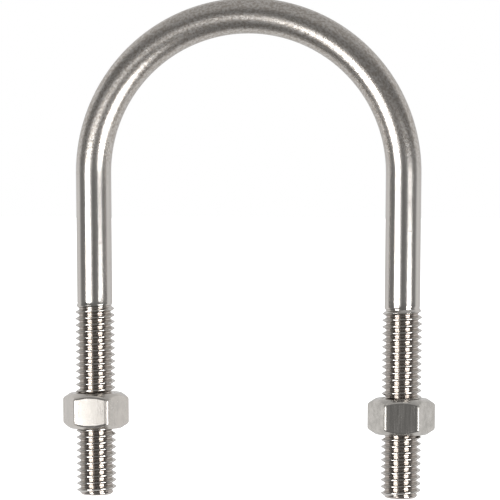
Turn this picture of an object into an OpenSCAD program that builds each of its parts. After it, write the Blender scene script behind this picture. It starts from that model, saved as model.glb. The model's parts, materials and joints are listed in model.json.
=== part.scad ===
// U-bolt with two hex nuts, in millimetres.
// +Z is up. The origin is the centre of the bend, on the axis of the pipe that the bolt
// holds, which runs along Y. The legs point down.

/* [Bend] */
// Clear width between the legs at the bend, which is the width of the pipe seat
inside_w = 66.2; // [40:0.1:120]
// Lean of each leg towards the other, in degrees
toe_in = 0.5; // [0:0.05:0.5]

/* [Legs] */
// Length of each leg, from the centre of the bend down to its end
leg_len = 77.4; // [72:0.1:160]
// Length of thread on each leg, up to where it starts to run out
thread_len = 44.5; // [36:0.1:60]
// Length over which the thread runs out into the plain rod
run_out_len = 1.8; // [1:0.1:4]
// Length of the lead chamfer on the end of each leg
leg_chamfer = 1.2; // [0.4:0.05:1.5]
// Slope of that chamfer, in degrees from the leg's axis
leg_chamfer_angle = 50; // [30:1:65]

/* [Thread] */
// Major diameter of the thread
thread_d = 9.525; // [7.5:0.005:11.5]
// Pitch of the thread, 16 to the inch
thread_pitch = 1.5875; // [1:0.0125:2]

/* [Nuts] */
// Width of each nut across its flats
nut_af = 14.2; // [14:0.05:20]
// Height of each nut
nut_h = 8.55; // [5:0.05:12]
// Slope of the chamfers on the nut's corners, in degrees from its faces
nut_chamfer_angle = 33; // [15:1:40]
// How far the flat ring that the chamfers leave on each face of the nut stays inside its flats
nut_face_inset = 0.95; // [0:0.05:1.2]
// How much wider the mouth of the nut's bore is than the bore
mouth_flare = 0.5; // [0.2:0.05:1.2]
// Gap all round between the crest of the thread and the bore of the nut
thread_clearance = 0.06; // [0.02:0.01:0.1]
// Distance from the end of the left leg up to the bottom of its nut
left_nut_rise = 16.1; // [0:0.1:20]
// Distance from the end of the right leg up to the bottom of its nut
right_nut_rise = 15.3; // [0:0.1:20]
// Turn of the left nut's front flat, away from the other leg, in degrees
left_nut_turn = 1; // [-30:0.5:30]
// Turn of the right nut's front flat, away from the other leg, in degrees
right_nut_turn = 5.5; // [-30:0.5:30]

/* [Hidden] */
$fn = 96;
steel = "silver";

// A 60 degree thread, with a flat on its crest and another on its root.
thread_triangle = thread_pitch * sqrt(3) / 2;
thread_depth = thread_triangle * 17 / 24;
crest_flat = thread_pitch / 8;
root_flat = thread_pitch / 6;
flank_run = (thread_pitch - crest_flat - root_flat) / 2;
root_d = thread_d - 2 * thread_depth;
groove_count = floor((thread_len - leg_chamfer - crest_flat) / thread_pitch);

// The thread is rolled up from a plain rod that has its pitch diameter.
rod_d = thread_d - thread_triangle * 3 / 4;
leg_x = (inside_w + rod_d) / 2;

// Places something on a leg's own axis: side is 1 for the right leg and -1 for the left,
// which is its mirror image.
module on_leg(side) {
    mirror([side < 0 ? 1 : 0, 0, 0])
        rotate([0, toe_in, 0])
            translate([leg_x, 0, 0])
                children();
}

// The bend: a part of a torus, cut off square where each leg starts.
module bend() {
    past_legs = toe_in + 1;
    cutter = 2 * rod_d;
    difference() {
        rotate([90, 0, 0])
            rotate([0, 0, -past_legs])
                rotate_extrude(angle = 180 + 2 * past_legs)
                    translate([leg_x, 0])
                        circle(d = rod_d);
        for (side = [-1, 1])
            on_leg(side)
                translate([-cutter / 2, -cutter / 2, -cutter])
                    cube(cutter);
    }
}

// Outline of one groove of the thread, from the crest at its top down to the next crest.
function groove(top) = [
    [thread_d / 2, top],
    [root_d / 2, top - flank_run],
    [root_d / 2, top - flank_run - root_flat],
    [thread_d / 2, top - 2 * flank_run - root_flat]
];

// One leg on the Z axis, with its end at the bottom.
module leg() {
    thread_top = thread_len - leg_len;
    end_r = thread_d / 2 - leg_chamfer * tan(leg_chamfer_angle);
    rotate_extrude()
        polygon([
            [0, 0],
            [rod_d / 2, 0],
            [rod_d / 2, thread_top + run_out_len],
            [thread_d / 2, thread_top],
            for (i = [0 : groove_count - 1]) each groove(thread_top - crest_flat - i * thread_pitch),
            [thread_d / 2, leg_chamfer - leg_len],
            [end_r, -leg_len],
            [0, -leg_len]
        ]);
}

module u_bolt() {
    color(steel) {
        bend();
        for (side = [-1, 1])
            on_leg(side)
                leg();
    }
}

// A turned blank, whose slopes take the corners off a hexagon.
module chamfer_blank() {
    face_r = nut_af / 2 - nut_face_inset;
    past_corner = 0.2;
    rim_r = nut_af / sqrt(3) + past_corner;
    fall = (rim_r - face_r) * tan(nut_chamfer_angle);
    rotate_extrude()
        polygon([
            [0, 0], [face_r, 0], [rim_r, -fall],
            [rim_r, fall - nut_h], [face_r, -nut_h], [0, -nut_h]
        ]);
}

// The bore and its two mouths, which flare at 45 degrees.
module nut_bore() {
    bore_r = thread_d / 2 + thread_clearance;
    flare = mouth_flare / 2;
    over = 1;
    rotate_extrude()
        polygon([
            [0, over], [bore_r + flare + over, over], [bore_r, -flare],
            [bore_r, flare - nut_h], [bore_r + flare + over, -nut_h - over], [0, -nut_h - over]
        ]);
}

// A hex nut with its top face at z = 0 and one flat facing -Y.
module nut() {
    difference() {
        intersection() {
            translate([0, 0, -nut_h])
                cylinder(d = nut_af * 2 / sqrt(3), h = nut_h, $fn = 6);
            chamfer_blank();
        }
        nut_bore();
    }
}

// A nut on one leg, by how far it is up from the leg's end.
module nut_on_leg(side, rise, turn) {
    on_leg(side)
        translate([0, 0, rise + nut_h - leg_len])
            rotate([0, 0, turn])
                nut();
}

module left_nut() {
    color(steel) nut_on_leg(-1, left_nut_rise, left_nut_turn);
}

module right_nut() {
    color(steel) nut_on_leg(1, right_nut_rise, right_nut_turn);
}

u_bolt();
left_nut();
right_nut();
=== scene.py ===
import json
import math

import bmesh
import bpy
import numpy as np
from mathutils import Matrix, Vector


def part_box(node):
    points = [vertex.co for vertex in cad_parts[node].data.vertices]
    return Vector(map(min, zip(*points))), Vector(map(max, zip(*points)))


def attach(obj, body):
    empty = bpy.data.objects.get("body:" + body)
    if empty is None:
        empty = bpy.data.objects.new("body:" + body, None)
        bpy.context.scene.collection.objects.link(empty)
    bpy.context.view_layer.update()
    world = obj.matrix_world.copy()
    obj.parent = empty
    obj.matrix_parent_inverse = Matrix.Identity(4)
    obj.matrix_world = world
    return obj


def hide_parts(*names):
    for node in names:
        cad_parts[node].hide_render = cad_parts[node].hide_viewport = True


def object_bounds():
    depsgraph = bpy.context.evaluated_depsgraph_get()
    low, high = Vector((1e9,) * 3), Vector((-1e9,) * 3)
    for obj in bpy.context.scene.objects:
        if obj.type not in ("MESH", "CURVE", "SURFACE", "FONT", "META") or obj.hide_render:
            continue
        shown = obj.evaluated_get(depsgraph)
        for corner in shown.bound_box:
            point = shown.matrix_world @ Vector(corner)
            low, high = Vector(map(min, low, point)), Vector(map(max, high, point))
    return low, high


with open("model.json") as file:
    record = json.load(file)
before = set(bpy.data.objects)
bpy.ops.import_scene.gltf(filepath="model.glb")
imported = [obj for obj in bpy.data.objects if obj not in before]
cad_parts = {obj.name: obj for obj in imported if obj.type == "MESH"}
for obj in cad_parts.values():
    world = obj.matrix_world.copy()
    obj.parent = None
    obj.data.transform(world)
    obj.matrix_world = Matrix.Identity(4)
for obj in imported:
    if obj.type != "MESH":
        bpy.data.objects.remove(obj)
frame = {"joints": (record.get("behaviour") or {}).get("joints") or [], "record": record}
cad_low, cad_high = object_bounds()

MM = 0.001

# ---------------------------------------------------------------- sizes, in metres

mounts = {m["name"]: m for m in frame["record"]["mounts"]}
joints = {j["child"]: j for j in frame["joints"]}
SEAT_R = mounts["pipe_seat"]["dims"]["r_mm"] * MM
THREAD_R = mounts["leg_studs"]["dims"]["stud_r_mm"] * MM
ROD_R = (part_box("u_bolt")[1].z - SEAT_R) / 2
LEG_X = SEAT_R + ROD_R
TOE_IN = math.atan2(joints["right_nut"]["axis"][0], joints["right_nut"]["axis"][2])
LEG_LEN = 77.4 * MM

PITCH = 1.5875 * MM
THREAD_DEPTH = PITCH * math.sqrt(3) / 2 * 17 / 24
ROOT_R = THREAD_R - THREAD_DEPTH
FLANK = math.radians(30)             # half the thread's angle
CREST_FLAT = PITCH / 8
ROOT_FLAT = PITCH / 6
CREST_ROUND = 0.09 * MM
ROOT_ROUND = 0.2 * MM
# Down each leg, from the first mark of the rolls to the full thread.
RUN_OUT = {-1: (30.7 * MM, 32.9 * MM), 1: (31.3 * MM, 33.4 * MM)}
SPLIT_CREST = 0.1 * MM               # how deep the fold in a crest is while the thread runs out
LEG_CHAMFER = 1.2 * MM
END_SLOPE = math.radians(50)         # of that chamfer, from the leg's axis
END_R = THREAD_R - LEG_CHAMFER * math.tan(END_SLOPE)
THREAD_END = LEG_LEN - 0.2 * MM      # where the rounding of the leg's end begins
# The leg's end, from its rounded edge to its middle: radius past END_R and height above the end, in mm.
END_RINGS = ((0.12, 0.13), (-0.05, 0.06), (-0.35, 0.02), (-1.0, 0), (-2.2, 0), (-3.0, 0.04))
# Where down each leg the crest crosses the leg's own +X side, plus whole pitches.
CREST_AT = {-1: 35.765 * MM, 1: 35.783 * MM}

HALF_FLAT = math.radians(30)         # from the middle of a flat to the corner of a hexagon
NUT_AF = 14.2 * MM
NUT_H = 8.55 * MM
NUT_FACE_R = NUT_AF / 2 - 0.95 * MM  # of the flat ring on each face
NUT_CORNER_ROUND = {-1: 0.8 * MM, 1: 0.65 * MM}
NUT_WORN_FROM_R = 7.85 * MM          # the corners are duller beyond this
NUT_WORN_R = 8 * MM                  # and dullest from here
NUT_EDGE_ROUND = 0.3 * MM            # where the chamfers meet the faces
NUT_SIDE_ROUND = 0.8 * MM            # where the chamfers meet the flats
NUT_CROWN = 0.045 * MM               # how far the middle of each flat stands out from its edges
NUT_CHAMFER = math.radians(33)
NUT_TURN = {-1: math.radians(1), 1: math.radians(5.5)}
NUT_MOUTH_R = THREAD_R + 0.31 * MM   # of the flare at each end of the bore
NUT_THREAD_R = 4.03 * MM             # crest of the nut's thread
THREAD_GAP = 0.06 * MM               # between the leg's thread and the nut's, all round

AROUND = 88                          # columns round the rod
BEND_STEPS = 90                      # rings along the bend
SHANK_STEPS = 12                     # rings along each shank
FLAT_STEPS = 15                      # columns on each flat of a nut
CORNER_STEPS = 7                     # columns round each corner, with the flats' own edges


# ---------------------------------------------------------------- shapes

def arc_corners(points, rounds, steps):
    """An open outline with each inner corner rounded by an arc of its own radius, in steps + 1 points."""
    done = [points[0]]
    for before, corner, after, radius in zip(points, points[1:], points[2:], rounds):
        a = (np.array(before) - corner) / np.linalg.norm(np.array(before) - corner)
        b = (np.array(after) - corner) / np.linalg.norm(np.array(after) - corner)
        half = math.acos(np.clip(a @ b, -1, 1)) / 2
        centre = corner + (a + b) / np.linalg.norm(a + b) * radius / math.sin(half)
        start = corner + a * radius / math.tan(half)
        end = corner + b * radius / math.tan(half)
        for k in range(steps + 1):
            turn = k / steps
            spoke = (1 - turn) * (start - centre) + turn * (end - centre)
            done.append(tuple(centre + spoke / np.linalg.norm(spoke) * radius))
    return done + [points[-1]]


def supported(outline, gap, shortest):
    """The outline with a point close to each end of its long straight parts, which keeps them shaded flat."""
    done = [outline[0]]
    for start, end in zip(outline, outline[1:]):
        step = np.array(end) - start
        length = np.linalg.norm(step)
        if length > shortest:
            done.append(tuple(start + step * gap / length))
            done.append(tuple(end - step * gap / length))
        done.append(end)
    return done


class Leg:
    """The frame of one leg: side is 1 for the right leg and -1 for the left. Down the leg is down."""

    def __init__(self, side):
        self.side = side
        self.top = Vector((side * LEG_X * math.cos(TOE_IN), 0, -LEG_X * math.sin(TOE_IN)))
        self.down = Vector((-side * math.sin(TOE_IN), 0, -math.cos(TOE_IN)))
        self.across = Vector((math.cos(TOE_IN), 0, -side * math.sin(TOE_IN)))
        self.back = Vector((0, 1, 0))

    def points(self, down, radius, angle):
        """Points on the leg, from arrays of the distance down it, the radius and the angle round it.
        Beside each point is its place on the bar before it was bent."""
        down, radius, angle = np.broadcast_arrays(down, radius, angle)
        spread = [np.array(v) for v in (self.down, self.across, self.back)]
        place = (
            np.array(self.top)
            + down[..., None] * spread[0]
            + (radius * np.cos(angle))[..., None] * spread[1]
            + (radius * np.sin(angle))[..., None] * spread[2]
        )
        along = -down if self.side > 0 else math.pi * LEG_X + down
        bar = np.stack([self.side * radius * np.cos(angle), radius * np.sin(angle), along], axis=-1)
        return np.concatenate([place, bar], axis=-1)


class Skin:
    """Collects the points and faces of one mesh."""

    def __init__(self):
        self.points, self.faces, self.count = [], [], 0

    def add(self, points):
        """Adds points and gives their numbers, in the same layout."""
        numbers = np.arange(self.count, self.count + points[..., 0].size).reshape(points.shape[:-1])
        self.points.append(points.reshape(-1, 6))
        self.count += numbers.size
        return numbers

    def join(self, upper, lower):
        """Faces between two rings of numbers."""
        for j in range(len(upper)):
            k = (j + 1) % len(upper)
            self.face((upper[j], lower[j], lower[k], upper[k]))

    def face(self, corners):
        """One face, without the corners that fall together."""
        kept = [c for n, c in enumerate(corners) if c != corners[n - 1]]
        if len(set(kept)) > 2:
            self.faces.append(tuple(int(c) for c in kept))

    def mesh(self, name):
        data = bpy.data.meshes.new(name)
        points = np.concatenate(self.points)
        data.from_pydata(points[:, :3].tolist(), [], self.faces)
        data.attributes.new("bar", "FLOAT_VECTOR", "POINT").data.foreach_set("vector", points[:, 3:].ravel())
        work = bmesh.new()
        work.from_mesh(data)
        loose = [v for v in work.verts if not v.link_faces]
        bmesh.ops.delete(work, geom=loose, context="VERTS")
        bmesh.ops.recalc_face_normals(work, faces=work.faces)
        for f in work.faces:
            f.smooth = True
        work.to_mesh(data)
        work.free()
        piece = bpy.data.objects.new(name, data)
        bpy.context.scene.collection.objects.link(piece)
        return piece


def screw(skin, leg, angles, outline, crest_at, top, bottom, shape):
    """A right-hand thread between two levels down a leg, as a strip that climbs one pitch in each turn.
    outline is one pitch of (distance down, radius), and shape(down, radius) gives the final radius.
    Gives the numbers of the rings at its top and its bottom."""
    rows_in_pitch = len(outline)
    first = math.floor((top - crest_at) / PITCH) - 1
    last = math.ceil((bottom - crest_at) / PITCH) + 3
    turns = np.arange(first, last)
    down = (turns[:, None] * PITCH + np.array([d for d, r in outline])).reshape(-1, 1)
    radius = np.tile([r for d, r in outline], len(turns)).reshape(-1, 1)
    down = crest_at + down - PITCH * angles / (2 * math.pi)
    radius = shape(down, radius + 0 * angles)
    upper_r = shape(np.full_like(angles, top), np.full_like(angles, ROD_R))
    upper = skin.add(leg.points(top, upper_r, angles))
    lower_r = shape(np.full_like(angles, bottom), np.full_like(angles, THREAD_R))
    lower = skin.add(leg.points(bottom, lower_r, angles))
    numbers = skin.add(leg.points(down, radius, angles))
    numbers = np.where(down <= top, upper, np.where(down >= bottom, lower, numbers))
    wrapped = np.concatenate([np.full(rows_in_pitch, upper[0]), numbers[:-rows_in_pitch, 0]])
    beside = np.concatenate([numbers[:, 1:], wrapped[:, None]], axis=1)
    quads = np.stack([numbers[:-1], numbers[1:], beside[1:], beside[:-1]], axis=-1).reshape(-1, 4)
    for quad in quads[(quads != quads[:, :1]).any(axis=1)]:
        skin.face(tuple(quad))
    return upper, lower


def smooth_step(value, start, end):
    t = np.clip((value - start) / (end - start), 0, 1)
    return t * t * (3 - 2 * t)


def thread_outline(crest_r, crest_flat, root_r, root_flat, crest_round, root_round):
    """One pitch of a thread, from the middle of a crest down to the next, as (distance down, radius)."""
    run = (PITCH - crest_flat - root_flat) / 2
    points = [
        (0, crest_r),
        (crest_flat / 2, crest_r),
        (crest_flat / 2 + run, root_r),
        (PITCH - crest_flat / 2 - run, root_r),
        (PITCH - crest_flat / 2, crest_r),
        (PITCH, crest_r),
    ]
    rounded = arc_corners(points, [crest_round, root_round, root_round, crest_round], steps=2)
    return supported(rounded, gap=0.05 * MM, shortest=0.4 * MM)[:-1]


def u_bolt():
    """The bent rod, with a rolled thread on each leg."""
    skin = Skin()
    angles = np.arange(AROUND) * 2 * math.pi / AROUND
    outline = thread_outline(THREAD_R, CREST_FLAT, ROOT_R, ROOT_FLAT, CREST_ROUND, ROOT_ROUND)
    tops = {}
    for side in (-1, 1):
        leg = Leg(side)

        def rolled(down, radius):
            full = smooth_step(down, *RUN_OUT[side])
            crest = np.clip((radius - ROD_R) / (THREAD_R - ROD_R), 0, 1)
            fold = SPLIT_CREST * 4 * full * (1 - full) * crest**2
            cone = END_R + (LEG_LEN - down) * math.tan(END_SLOPE)
            return np.minimum(ROD_R + full * (radius - ROD_R) - fold, cone)

        start = RUN_OUT[side][0]
        shank = [skin.add(leg.points(d, ROD_R, angles)) for d in np.linspace(0, start, SHANK_STEPS)[:-1]]
        top, bottom = screw(skin, leg, angles, outline, CREST_AT[side], start, THREAD_END, rolled)
        for upper, lower in zip(shank, shank[1:] + [top]):
            skin.join(upper, lower)
        ring = bottom
        for out, up in END_RINGS:
            smaller = skin.add(leg.points(LEG_LEN - up * MM, END_R + out * MM, angles))
            skin.join(ring, smaller)
            ring = smaller
        skin.face(tuple(ring))
        tops[side] = shank[0]
    # Seen from the bend, the left leg's columns run the other way.
    ring = tops[1]
    for turn in np.linspace(-TOE_IN, math.pi + TOE_IN, BEND_STEPS + 1)[1:-1]:
        spoke = np.array([math.cos(turn), 0, math.sin(turn)])
        place = (LEG_X + ROD_R * np.cos(angles))[:, None] * spoke
        place[:, 1] = ROD_R * np.sin(angles)
        along = np.full(AROUND, turn * LEG_X)
        bar = np.stack([ROD_R * np.cos(angles), ROD_R * np.sin(angles), along], axis=-1)
        following = skin.add(np.concatenate([place, bar], axis=-1))
        skin.join(following, ring)
        ring = following
    mirrored = (AROUND // 2 - np.arange(AROUND)) % AROUND
    skin.join(tops[-1][mirrored], ring)
    return skin.mesh("u_bolt_rod")


def hexagon_angles(corner):
    """Angles from the middle of one flat right round the nut, close together where its corners are round."""
    apothem = NUT_AF / 2
    reach = (apothem - corner) * math.tan(HALF_FLAT)
    flat_edge = math.atan2(reach, apothem)
    flat = np.arctan(np.linspace(-reach, reach, FLAT_STEPS) / apothem)
    corner_turns = np.linspace(flat_edge, 2 * HALF_FLAT - flat_edge, CORNER_STEPS)[1:-1]
    sector = np.concatenate([flat, corner_turns])
    return np.concatenate([sector + 2 * HALF_FLAT * k for k in range(6)])


def hexagon_radius(angles, corner):
    """Radius of the rounded hexagon at angles measured from the middle of a flat."""
    apothem = NUT_AF / 2
    off_flat = (angles + HALF_FLAT) % (2 * HALF_FLAT) - HALF_FLAT
    centre = (apothem - corner) / math.cos(HALF_FLAT)
    off_corner = HALF_FLAT - np.abs(off_flat)
    out_of_centre = np.sqrt(np.maximum(corner**2 - (centre * np.sin(off_corner)) ** 2, 0))
    round_part = centre * np.cos(off_corner) + out_of_centre
    reach = (apothem - corner) * math.tan(HALF_FLAT)
    flat_edge = math.atan2(reach, apothem)
    sag = NUT_CROWN * np.minimum(np.abs(apothem * np.tan(off_flat) / reach), 1) ** 2
    return np.where(np.abs(off_flat) <= flat_edge, apothem / np.cos(off_flat), round_part) - sag


def nut(side, name):
    """A hex nut on a leg, chamfered on both faces, with a thread that fits the leg's."""
    skin = Skin()
    leg = Leg(side)
    seat = Vector(mounts[name + "_seat"]["pos_m"])
    top = (seat - leg.top).dot(leg.down)
    flat_angles = hexagon_angles(NUT_CORNER_ROUND[side])
    first_flat = -math.pi / 2 + side * NUT_TURN[side]
    angles = flat_angles + first_flat
    side_r = hexagon_radius(flat_angles, NUT_CORNER_ROUND[side])
    fall = (side_r - NUT_FACE_R) * math.tan(NUT_CHAMFER)
    columns = []
    for r, f in zip(side_r, fall):
        outline = [
            (NUT_MOUTH_R, 0), (NUT_FACE_R, 0), (r, f),
            (r, NUT_H - f), (NUT_FACE_R, NUT_H), (NUT_MOUTH_R, NUT_H),
        ]
        rounds = [NUT_EDGE_ROUND, NUT_SIDE_ROUND, NUT_SIDE_ROUND, NUT_EDGE_ROUND]
        columns.append(supported(arc_corners(outline, rounds, steps=4), gap=0.08 * MM, shortest=0.5 * MM))
    # From column, point, (radius, distance down) to point, (radius, distance down), column.
    levels = np.array(columns).transpose(1, 2, 0)
    rings = [skin.add(leg.points(top + down, radius, angles)) for radius, down in levels]
    for upper, lower in zip(rings, rings[1:]):
        skin.join(upper, lower)

    def cut(down, radius):
        depth = np.minimum(down - top, top + NUT_H - down)
        return np.maximum(radius, NUT_MOUTH_R - depth)

    ridge_flat = ROOT_FLAT + 2 * (NUT_THREAD_R - ROOT_R) * math.tan(FLANK) - 2 * THREAD_GAP
    groove_r = THREAD_R + THREAD_GAP
    groove_flat = CREST_FLAT + THREAD_GAP
    outline = thread_outline(groove_r, groove_flat, NUT_THREAD_R, ridge_flat, 0.04 * MM, 0.06 * MM)
    inset = 0.001 * MM               # keeps the thread's ends off the rings of the faces
    upper, lower = screw(skin, leg, angles, outline, CREST_AT[side], top + inset, top + NUT_H - inset, cut)
    skin.join(rings[0], upper)
    skin.join(rings[-1], lower)
    return skin.mesh(name + "_body")


# ---------------------------------------------------------------- materials

class Paint:
    """Builds one material's nodes."""

    def __init__(self, name):
        self.material = bpy.data.materials.new(name)
        self.material.use_nodes = True
        self.nodes = self.material.node_tree.nodes
        self.links = self.material.node_tree.links
        self.shader = self.nodes["Principled BSDF"]
        self.place = self.node("ShaderNodeTexCoord").outputs["Object"]
        attribute = self.node("ShaderNodeAttribute", attribute_name="bar")
        self.bar = attribute.outputs["Vector"]

    def node(self, kind, inputs=None, **settings):
        made = self.nodes.new(kind)
        for name, value in settings.items():
            setattr(made, name, value)
        for name, value in (inputs or {}).items():
            self.put(made.inputs[name], value)
        return made

    def put(self, socket, value):
        if isinstance(value, bpy.types.NodeSocket):
            self.links.new(value, socket)
        else:
            socket.default_value = value

    def stretch(self, vector, by):
        """The vector times a vector."""
        return self.node("ShaderNodeVectorMath", {0: vector, 1: by}, operation="MULTIPLY").outputs[0]

    def noise(self, vector, per_metre, detail, roughness):
        """Smooth noise from 0 to 1, whose grain is about one over per_metre wide."""
        inputs = {"Vector": vector, "Scale": per_metre, "Detail": detail, "Roughness": roughness}
        return self.node("ShaderNodeTexNoise", inputs).outputs[0]

    def sum(self, first, second, factor):
        """first + second * factor"""
        inputs = {0: second, 1: factor, 2: first}
        return self.node("ShaderNodeMath", inputs, operation="MULTIPLY_ADD").outputs[0]

    def total(self, start, *parts):
        """The start plus each part, which is a value and its factor."""
        for value, factor in parts:
            start = self.sum(start, value, factor)
        return start

    def product(self, first, second):
        return self.node("ShaderNodeMath", {0: first, 1: second}, operation="MULTIPLY").outputs[0]

    def span(self, value, low, high, to_low=0.0, to_high=1.0):
        """The value, taken smoothly from low-high to to_low-to_high."""
        inputs = {"Value": value, "From Min": low, "From Max": high, "To Min": to_low, "To Max": to_high}
        return self.node("ShaderNodeMapRange", inputs, interpolation_type="SMOOTHSTEP").outputs[0]

    def blend(self, factor, first, second):
        """The first colour where factor is 0 and the second where it is 1."""
        inputs = {0: factor, 6: self.colour(first), 7: self.colour(second)}
        return self.node("ShaderNodeMix", inputs, data_type="RGBA").outputs[2]

    def colour(self, value):
        return value if isinstance(value, bpy.types.NodeSocket) else (*value, 1.0)

    def metal(self, colour, roughness, height):
        """Finishes the material. The height is in millimetres."""
        bump = self.node("ShaderNodeBump", {"Height": height, "Strength": 1.0, "Distance": MM})
        self.put(self.shader.inputs["Base Color"], colour)
        self.put(self.shader.inputs["Roughness"], roughness)
        self.put(self.shader.inputs["Metallic"], 1.0)
        self.put(self.shader.inputs["Normal"], bump.outputs[0])
        return self.material


ROD_LIGHT = (0.57, 0.543, 0.515)
ROD_DARK = (0.53, 0.507, 0.48)
ROD_MOTTLE = (0.38, 0.345, 0.31)     # of the bend's skin
ROD_PIT = (0.42, 0.37, 0.33)
ROD_ROOT_SHADE = (0.49, 0.448, 0.415)      # of the thread's roots: painted shade
# The lighter and the darker patches of each nut. The right nut's darker patches are darker than the left's:
# painted shade that darkens that whole nut.
NUT_PATCH_AND_SHADE_COLOURS = {
    -1: ((0.6, 0.565, 0.525), (0.55, 0.522, 0.49)),
    1: ((0.6, 0.575, 0.54), (0.44, 0.422, 0.395)),
}
NUT_SCRATCH = (0.66, 0.63, 0.6)


def distance_from(paint, vector, centre):
    """Distance from an upright line through the centre."""
    moved = paint.node("ShaderNodeVectorMath", {0: vector, 1: centre}, operation="SUBTRACT").outputs[0]
    flat = paint.stretch(moved, (1, 1, 0))
    return paint.node("ShaderNodeVectorMath", {0: flat}, operation="LENGTH").outputs["Value"]


def rod_steel():
    """Drawn bar with a bright rolled thread. Bending has roughened its skin."""
    paint = Paint("rod_steel")
    radius = distance_from(paint, paint.bar, (0, 0, 0))
    # Painted shade: the colour darkens towards the bottom of the thread's grooves.
    root_shade = paint.span(radius, ROD_R - 0.02 * MM, ROOT_R)
    middle = math.pi * LEG_X / 2
    along = paint.node("ShaderNodeSeparateXYZ", {0: paint.bar}).outputs["Z"]
    along = paint.node("ShaderNodeMath", {0: along, 1: middle}, operation="SUBTRACT").outputs[0]
    along = paint.node("ShaderNodeMath", {0: along}, operation="ABSOLUTE").outputs[0]
    # Where the bar is bent, and where it has no thread.
    bent = paint.span(along, middle + 6 * MM, middle - 12 * MM)
    plain = paint.span(along, middle + 32 * MM, middle + 30 * MM)
    grain = paint.noise(paint.bar, per_metre=1700, detail=4, roughness=0.7)
    speckle = paint.noise(paint.stretch(paint.bar, (1, 1, 0.8)), per_metre=1900, detail=2, roughness=0.6)
    pits = paint.span(paint.noise(paint.bar, per_metre=900, detail=4, roughness=0.7), 0.62, 0.8)
    streaks = paint.noise(paint.stretch(paint.bar, (1, 1, 0.04)), per_metre=1300, detail=3, roughness=0.6)
    waves = paint.noise(paint.bar, per_metre=220, detail=2, roughness=0.5)
    blotches = paint.noise(paint.bar, per_metre=60, detail=3, roughness=0.6)
    clean = paint.blend(blotches, ROD_LIGHT, ROD_DARK)
    mottled = paint.blend(paint.product(paint.span(speckle, 0.38, 0.62), bent), clean, ROD_MOTTLE)
    worn = paint.blend(paint.product(pits, plain), mottled, ROD_PIT)
    colour = paint.blend(root_shade, worn, ROD_ROOT_SHADE)
    roughness = paint.total(
        paint.span(grain, 0.3, 0.7, 0.14, 0.19),
        (paint.product(streaks, plain), 0.06),
        (bent, 0.1),
        (paint.span(plain, 1.0, 0.0), -0.05),
    )
    height = paint.total(
        0.0,
        (paint.product(speckle, bent), 0.027),
        (paint.product(waves, bent), 0.008),
        (paint.product(waves, plain), 0.012),
        (paint.product(streaks, plain), 0.002),
        (paint.product(grain, plain), 0.0015),
        (paint.product(pits, plain), -0.003),
    )
    return paint.metal(colour, roughness, height)


def nut_steel(name, centre, light, dark_patch_and_shade):
    """Cold formed hexagon, with upright grain on its flats and turned rings on its chamfers."""
    paint = Paint(name)
    normal = paint.node("ShaderNodeNewGeometry").outputs["Normal"]
    upward = paint.node("ShaderNodeSeparateXYZ", {0: normal}).outputs["Z"]
    upward = paint.node("ShaderNodeMath", {0: upward}, operation="ABSOLUTE").outputs[0]
    turned = paint.span(upward, 0.3, 0.7)
    upright = paint.stretch(paint.place, (1, 1, 0.05))
    brushed = paint.noise(upright, per_metre=2600, detail=4, roughness=0.65)
    radius = distance_from(paint, paint.place, centre)
    ring_place = paint.node("ShaderNodeCombineXYZ", {0: radius}).outputs[0]
    rings = paint.noise(ring_place, per_metre=5000, detail=3, roughness=0.6)
    lines = paint.node("ShaderNodeMix", {0: turned, 2: brushed, 3: rings}).outputs[0]
    grain = paint.noise(paint.place, per_metre=2400, detail=3, roughness=0.6)
    blotches = paint.noise(paint.place, per_metre=420, detail=5, roughness=0.65)
    marks = paint.noise(paint.stretch(paint.place, (1, 1, 0.3)), per_metre=700, detail=5, roughness=0.75)
    scratches = paint.span(marks, 0.6, 0.75)
    # Random lighter and darker patches. On the right nut the darker colour is also painted shade.
    base = paint.blend(paint.span(blotches, 0.3, 0.7), light, dark_patch_and_shade)
    colour = paint.blend(scratches, base, NUT_SCRATCH)
    roughness = paint.total(
        paint.span(lines, 0.35, 0.65, 0.1, 0.2),
        (paint.span(blotches, 0.4, 0.65), 0.06),
        (grain, 0.03),
        (scratches, 0.2),
        (paint.span(radius, NUT_WORN_FROM_R, NUT_WORN_R), 0.2),
    )
    height = paint.total(0.0, (lines, 0.0045), (grain, 0.002), (blotches, 0.004), (scratches, -0.002))
    return paint.metal(colour, roughness, height)


# ---------------------------------------------------------------- pieces

rod = u_bolt()
rod.data.materials.append(rod_steel())
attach(rod, "u_bolt")
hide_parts("u_bolt")
for side, name in ((-1, "left_nut"), (1, "right_nut")):
    piece = nut(side, name)
    seat = Vector(mounts[name + "_seat"]["pos_m"])
    piece.data.materials.append(nut_steel(name + "_steel", (seat.x, 0, 0), *NUT_PATCH_AND_SHADE_COLOURS[side]))
    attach(piece, name)
    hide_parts(name)


# ---------------------------------------------------------------- floor, light and camera

FLOOR_SIZE = 6.0
FLOOR_GREY = 0.85
LIGHT_DISTANCE = 2.0
# The room's brightness, by the angle in degrees from straight ahead of the object round to behind it.
ROOM = (
    (0, 0.21), (30, 0.21), (60, 0.18), (88, 0.28), (101, 0.86),
    (112, 0.96), (130, 0.86), (150, 0.8), (180, 0.7),
)
ROOM_AHEAD = 2                       # azimuth of straight ahead
CEILING_GREY = 0.58
CEILING_Z = (0.5, 0.9)               # where the room gives way to the ceiling, as the height of a unit vector
CAMERA_AIM = Vector((0.59, -0.52, -18.63)) * MM
CAMERA_AZIMUTH = 6.743
CAMERA_ELEVATION = 1.787
CAMERA_DISTANCE = 837.065 * MM
CAMERA_LENS = 252
CAMERA_SENSOR = 36


def grey(value):
    return (value, value, value, 1)


def direction(azimuth, elevation):
    """Unit vector towards a place round the object: azimuth 0 is -Y and 90 is +X, in degrees."""
    a, e = math.radians(azimuth), math.radians(elevation)
    return Vector((math.sin(a) * math.cos(e), -math.cos(a) * math.cos(e), math.sin(e)))


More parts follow.
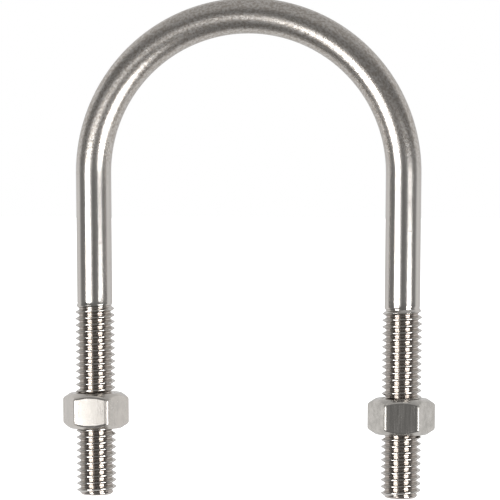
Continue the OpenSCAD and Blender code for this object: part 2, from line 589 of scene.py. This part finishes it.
def floor():
    """A plain pale floor, which the steel doesn't reflect."""
    bpy.ops.mesh.primitive_plane_add(size=FLOOR_SIZE, location=(0, 0, cad_low.z))
    plane = bpy.context.object
    plane.name = "floor"
    material = bpy.data.materials.new("pale_floor")
    material.use_nodes = True
    nodes, links = material.node_tree.nodes, material.node_tree.links
    nodes.clear()
    glow = nodes.new("ShaderNodeEmission")
    glow.inputs["Strength"].default_value = 1
    matt = nodes.new("ShaderNodeBsdfDiffuse")
    matt.inputs["Color"].default_value = grey(FLOOR_GREY)
    both = nodes.new("ShaderNodeAddShader")
    out = nodes.new("ShaderNodeOutputMaterial")
    links.new(glow.outputs[0], both.inputs[0])
    links.new(matt.outputs[0], both.inputs[1])
    links.new(both.outputs[0], out.inputs[0])
    plane.data.materials.append(material)
    plane.visible_glossy = False
    plane.visible_shadow = False
    plane.visible_diffuse = False


def softbox(name, azimuths, elevations, brightness):
    """A light that fills the given angles as seen from the object, in degrees."""
    azimuth, elevation = sum(azimuths) / 2, sum(elevations) / 2
    width = 2 * LIGHT_DISTANCE * math.tan(math.radians(azimuths[1] - azimuths[0]) / 2)
    height = 2 * LIGHT_DISTANCE * math.tan(math.radians(elevations[1] - elevations[0]) / 2)
    light = bpy.data.lights.new(name, "AREA")
    light.shape = "RECTANGLE"
    light.size, light.size_y = width, height
    light.energy = brightness * math.pi * width * height
    lamp = bpy.data.objects.new(name, light)
    bpy.context.scene.collection.objects.link(lamp)
    towards = direction(azimuth, elevation)
    lamp.location = towards * LIGHT_DISTANCE
    lamp.rotation_euler = towards.to_track_quat("Z", "Y").to_euler()
    lamp.visible_camera = False


def studio():
    """The room that the steel reflects, and a white backdrop for the camera."""
    world = bpy.data.worlds.new("studio")
    bpy.context.scene.world = world
    world.use_nodes = True
    nodes, links = world.node_tree.nodes, world.node_tree.links
    nodes.clear()
    place = nodes.new("ShaderNodeTexCoord")
    split = nodes.new("ShaderNodeSeparateXYZ")
    links.new(place.outputs["Generated"], split.inputs[0])
    ahead = nodes.new("ShaderNodeVectorMath")
    ahead.operation = "DOT_PRODUCT"
    ahead.inputs[1].default_value = -direction(ROOM_AHEAD, 0)
    links.new(place.outputs["Generated"], ahead.inputs[0])
    # From straight ahead (position 0) round to straight behind (position 1).
    spread = nodes.new("ShaderNodeMapRange")
    spread.inputs["From Min"].default_value = -1
    spread.inputs["From Max"].default_value = 1
    links.new(ahead.outputs["Value"], spread.inputs["Value"])
    ramp = nodes.new("ShaderNodeValToRGB")
    ramp.color_ramp.interpolation = "EASE"
    while len(ramp.color_ramp.elements) > 1:
        ramp.color_ramp.elements.remove(ramp.color_ramp.elements[0])
    for n, (polar, value) in enumerate(ROOM):
        at = (1 - math.cos(math.radians(polar))) / 2
        element = ramp.color_ramp.elements[0] if n == 0 else ramp.color_ramp.elements.new(at)
        element.position = at
        element.color = grey(value)
    links.new(spread.outputs[0], ramp.inputs[0])
    above = nodes.new("ShaderNodeMapRange")
    above.interpolation_type = "SMOOTHSTEP"
    above.inputs["From Min"].default_value = CEILING_Z[0]
    above.inputs["From Max"].default_value = CEILING_Z[1]
    links.new(split.outputs["Z"], above.inputs["Value"])
    ceiling = nodes.new("ShaderNodeMix")
    ceiling.data_type = "RGBA"
    links.new(above.outputs[0], ceiling.inputs[0])
    links.new(ramp.outputs[0], ceiling.inputs[6])
    ceiling.inputs[7].default_value = grey(CEILING_GREY)
    surround = nodes.new("ShaderNodeBackground")
    links.new(ceiling.outputs[2], surround.inputs[0])
    backdrop = nodes.new("ShaderNodeBackground")
    backdrop.inputs[0].default_value = grey(1)
    ray = nodes.new("ShaderNodeLightPath")
    choose = nodes.new("ShaderNodeMixShader")
    links.new(ray.outputs["Is Camera Ray"], choose.inputs[0])
    links.new(surround.outputs[0], choose.inputs[1])
    links.new(backdrop.outputs[0], choose.inputs[2])
    out = nodes.new("ShaderNodeOutputWorld")
    links.new(choose.outputs[0], out.inputs[0])


def camera():
    data = bpy.data.cameras.new("camera")
    data.lens = CAMERA_LENS
    data.sensor_width = CAMERA_SENSOR
    data.clip_start, data.clip_end = 0.01, 20
    cam = bpy.data.objects.new("camera", data)
    bpy.context.scene.collection.objects.link(cam)
    towards = direction(CAMERA_AZIMUTH, CAMERA_ELEVATION)
    cam.location = CAMERA_AIM + towards * CAMERA_DISTANCE
    cam.rotation_euler = towards.to_track_quat("Z", "Y").to_euler()
    bpy.context.scene.camera = cam


floor()
softbox("left_softbox", azimuths=(-47, -19), elevations=(-22, -1.5), brightness=12)
softbox("left_spill", azimuths=(-17, -8), elevations=(-14, 0), brightness=1.2)
softbox("right_softbox", azimuths=(35, 63), elevations=(-34, -5.5), brightness=12)
studio()
camera()
bpy.context.scene.view_settings.view_transform = "Standard"
